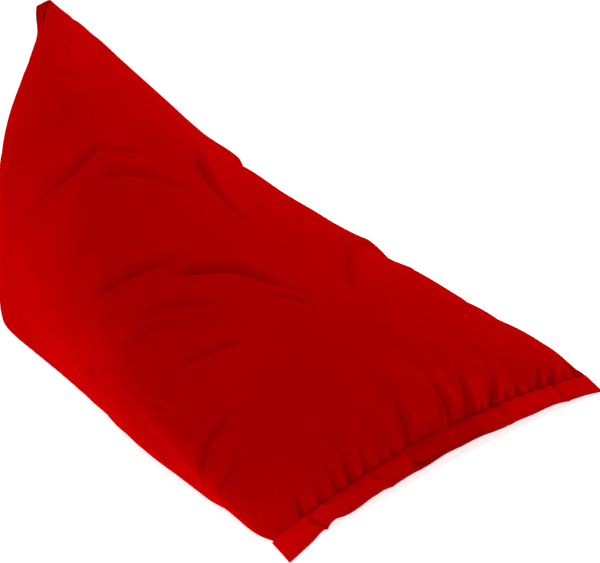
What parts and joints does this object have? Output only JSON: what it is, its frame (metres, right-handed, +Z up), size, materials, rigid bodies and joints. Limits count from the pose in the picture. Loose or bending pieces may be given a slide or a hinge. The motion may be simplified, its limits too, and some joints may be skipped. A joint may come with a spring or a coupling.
{
  "type": "bean bag chair",
  "caption": "Soft lounger made from a fabric sleeve sewn flat across the front and upright at the back, filled with loose beads, with a low seat and a raised pointed backrest.",
  "frame": {"origin": "centre of the overall box on the floor", "axes": "+Z up, the front hem and the sitter's feet towards -Y, +X to the right of someone who faces +Y"},
  "size_m": [0.9042, 1.2586, 0.6994],
  "materials": {
    "cover_fabric": "saturated red woven polyester, matte",
    "label_fabric": "red woven label, left bare",
    "tape_fabric": "red zip tape",
    "closure_fabric": "red hook-and-loop tape",
    "zip_plastic": "red coil teeth",
    "zip_metal": "red painted die-cast zinc",
    "liner_fabric": "off-white non-woven liner",
    "liner_zip": "white coil zip",
    "beads": "white expanded polystyrene beads"
  },
  "bodies": {
    "bag": {"cover_upper_panel": "cover_fabric", "cover_base_panel": "cover_fabric", "front_hem_upper": "cover_fabric", "front_hem_lower": "cover_fabric", "zip_tape_left": "tape_fabric", "zip_tape_right": "tape_fabric", "zip_teeth_left": "zip_plastic", "zip_teeth_right": "zip_plastic", "zip_bottom_stop": "zip_plastic", "zip_top_stop": "zip_plastic", "liner_bag": "liner_fabric", "liner_zip_tape_left": "liner_fabric", "liner_zip_tape_right": "liner_fabric", "liner_zip_teeth_left": "liner_zip", "liner_zip_teeth_right": "liner_zip", "liner_zip_bottom_stop": "liner_zip", "liner_zip_top_stop": "liner_zip", "bead_fill": "beads"},
    "left_lip": {"back_lip_left": "cover_fabric", "hook_tape": "closure_fabric"},
    "right_lip": {"back_lip_right": "cover_fabric", "loop_tape": "closure_fabric"},
    "cover_slider": {"zip_slider": "zip_metal"},
    "slider_pull": {"zip_pull": "zip_metal"},
    "label": {"label_tab": "label_fabric"},
    "liner_slider": {"liner_zip_slider": "liner_zip"}
  },
  "joints": [
    {"name": "left_lip_open", "type": "hinge", "parent": "bag", "child": "left_lip", "pos_m": [-0.018, 0.48192, 0.4456], "axis": [0, -0.2317, 0.9728], "range_deg": [0, 90]},
    {"name": "right_lip_open", "type": "hinge", "parent": "bag", "child": "right_lip", "pos_m": [0.018, 0.48192, 0.4456], "axis": [0, 0.2317, -0.9728], "range_deg": [0, 90]},
    {"name": "zip_slide", "type": "slide", "parent": "bag", "child": "cover_slider", "axis": [0, 0.2317, -0.9728], "range_m": [0, 0.5424]},
    {"name": "pull_swing", "type": "hinge", "parent": "cover_slider", "child": "slider_pull", "pos_m": [0, 0.45358, 0.57578], "axis": [1, 0, 0], "range_deg": [0, 30]},
    {"name": "label_lift", "type": "hinge", "parent": "bag", "child": "label", "pos_m": [0, -0.59041, 0.05099], "axis": [-1, 0, 0], "range_deg": [0, 110]},
    {"name": "liner_zip_slide", "type": "slide", "parent": "bag", "child": "liner_slider", "axis": [0, 0.2317, -0.9728], "range_m": [0, 0.4004]}
  ]
}
